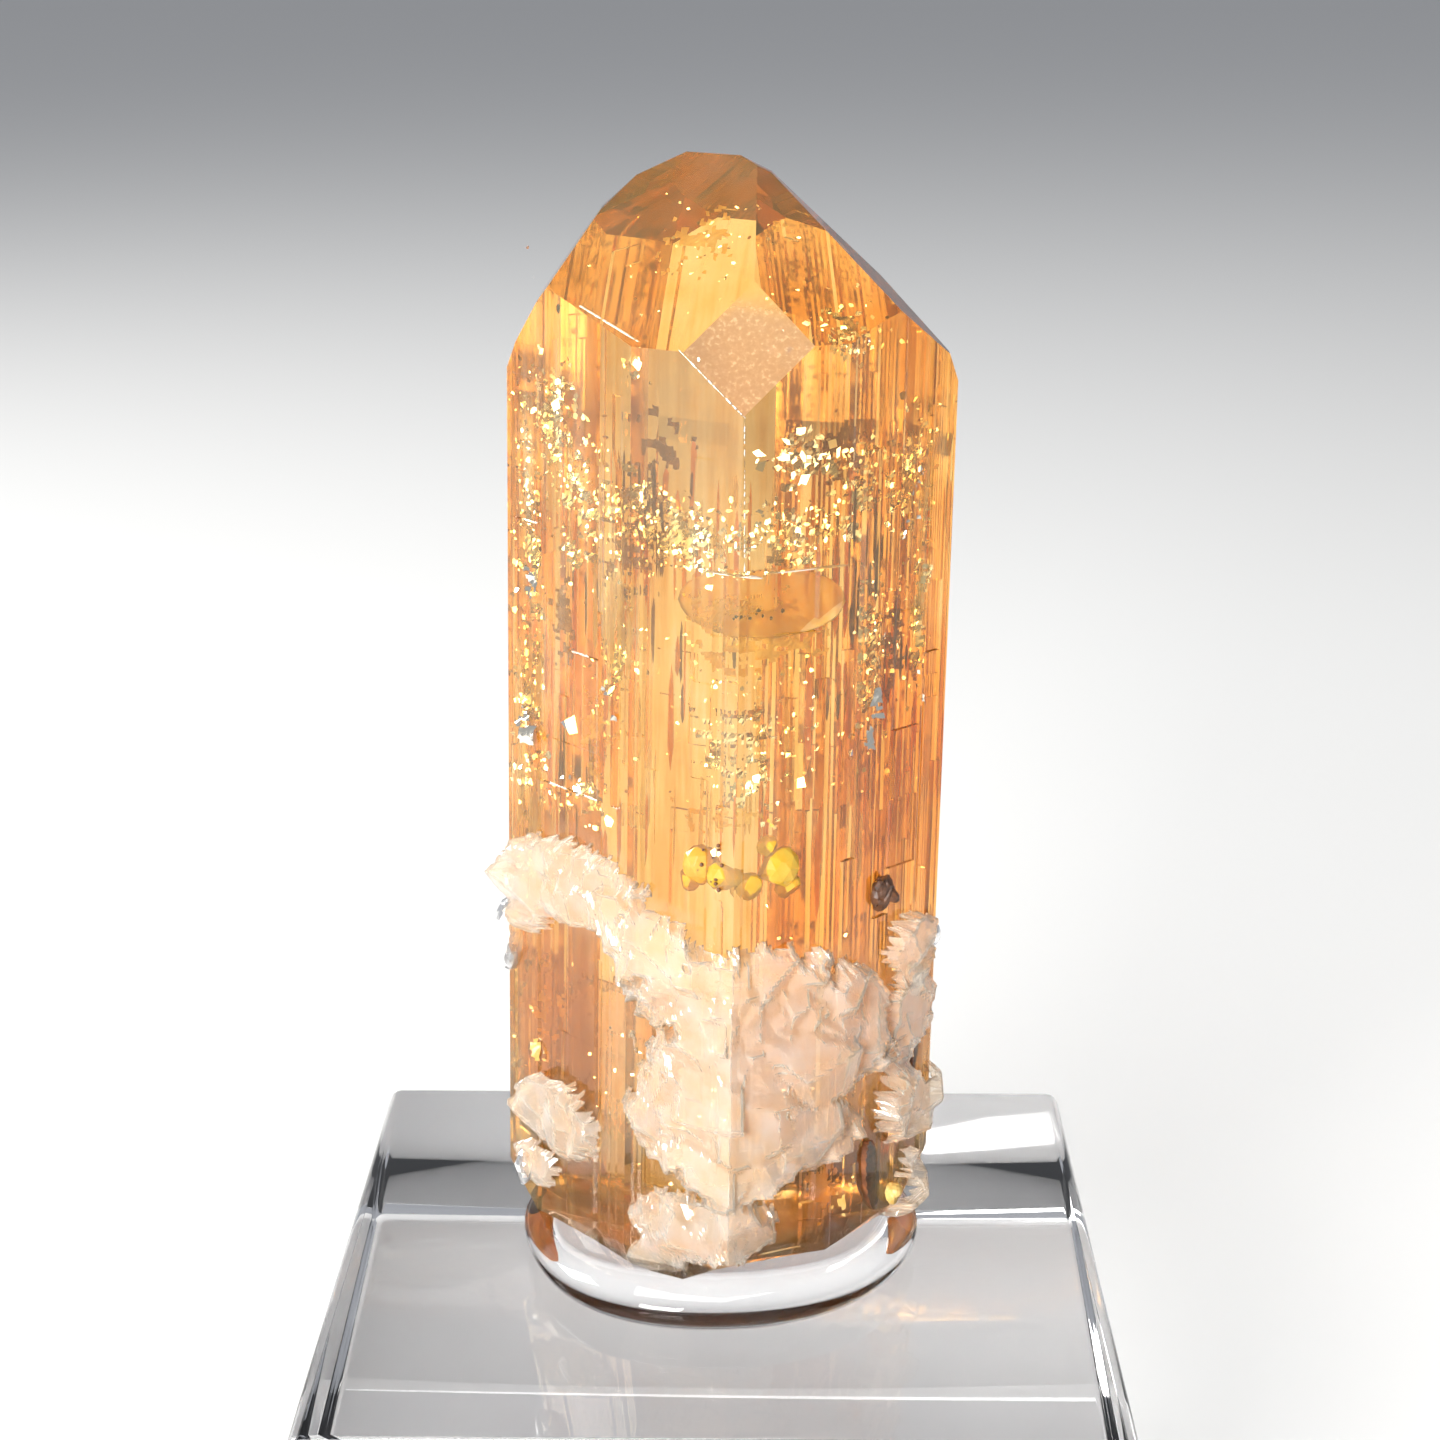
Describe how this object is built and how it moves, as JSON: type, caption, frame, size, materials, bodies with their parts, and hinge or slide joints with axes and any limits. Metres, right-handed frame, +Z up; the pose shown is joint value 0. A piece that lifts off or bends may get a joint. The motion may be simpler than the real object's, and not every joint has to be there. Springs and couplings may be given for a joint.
{
  "type": "topaz crystal on display block",
  "caption": "Rough golden topaz crystal with a natural point, upright in clear gel on a clear display block.",
  "frame": {"origin": "middle of the display block's underside", "axes": "+Z up along the crystal, -Y towards the viewer of the crystal's best side, +X to that viewer's right"},
  "size_m": [0.032, 0.032, 0.0647],
  "materials": {
    "topaz": "clear golden-orange crystal, striated up its sides, with a frosted face and a sugary crust",
    "gel": "clear glossy mounting gel",
    "acrylic": "clear polished acrylic with narrow bevelled edges",
    "dark_mineral": "dark brown mineral grain, dull",
    "gold_mineral": "golden-yellow mineral grain, dull"
  },
  "bodies": {
    "root": {"topaz_crystal": "topaz", "mounting_gel": "gel", "display_block": "acrylic", "dark_mineral_grain": "dark_mineral", "gold_mineral_grain": "gold_mineral"}
  },
  "joints": []
}
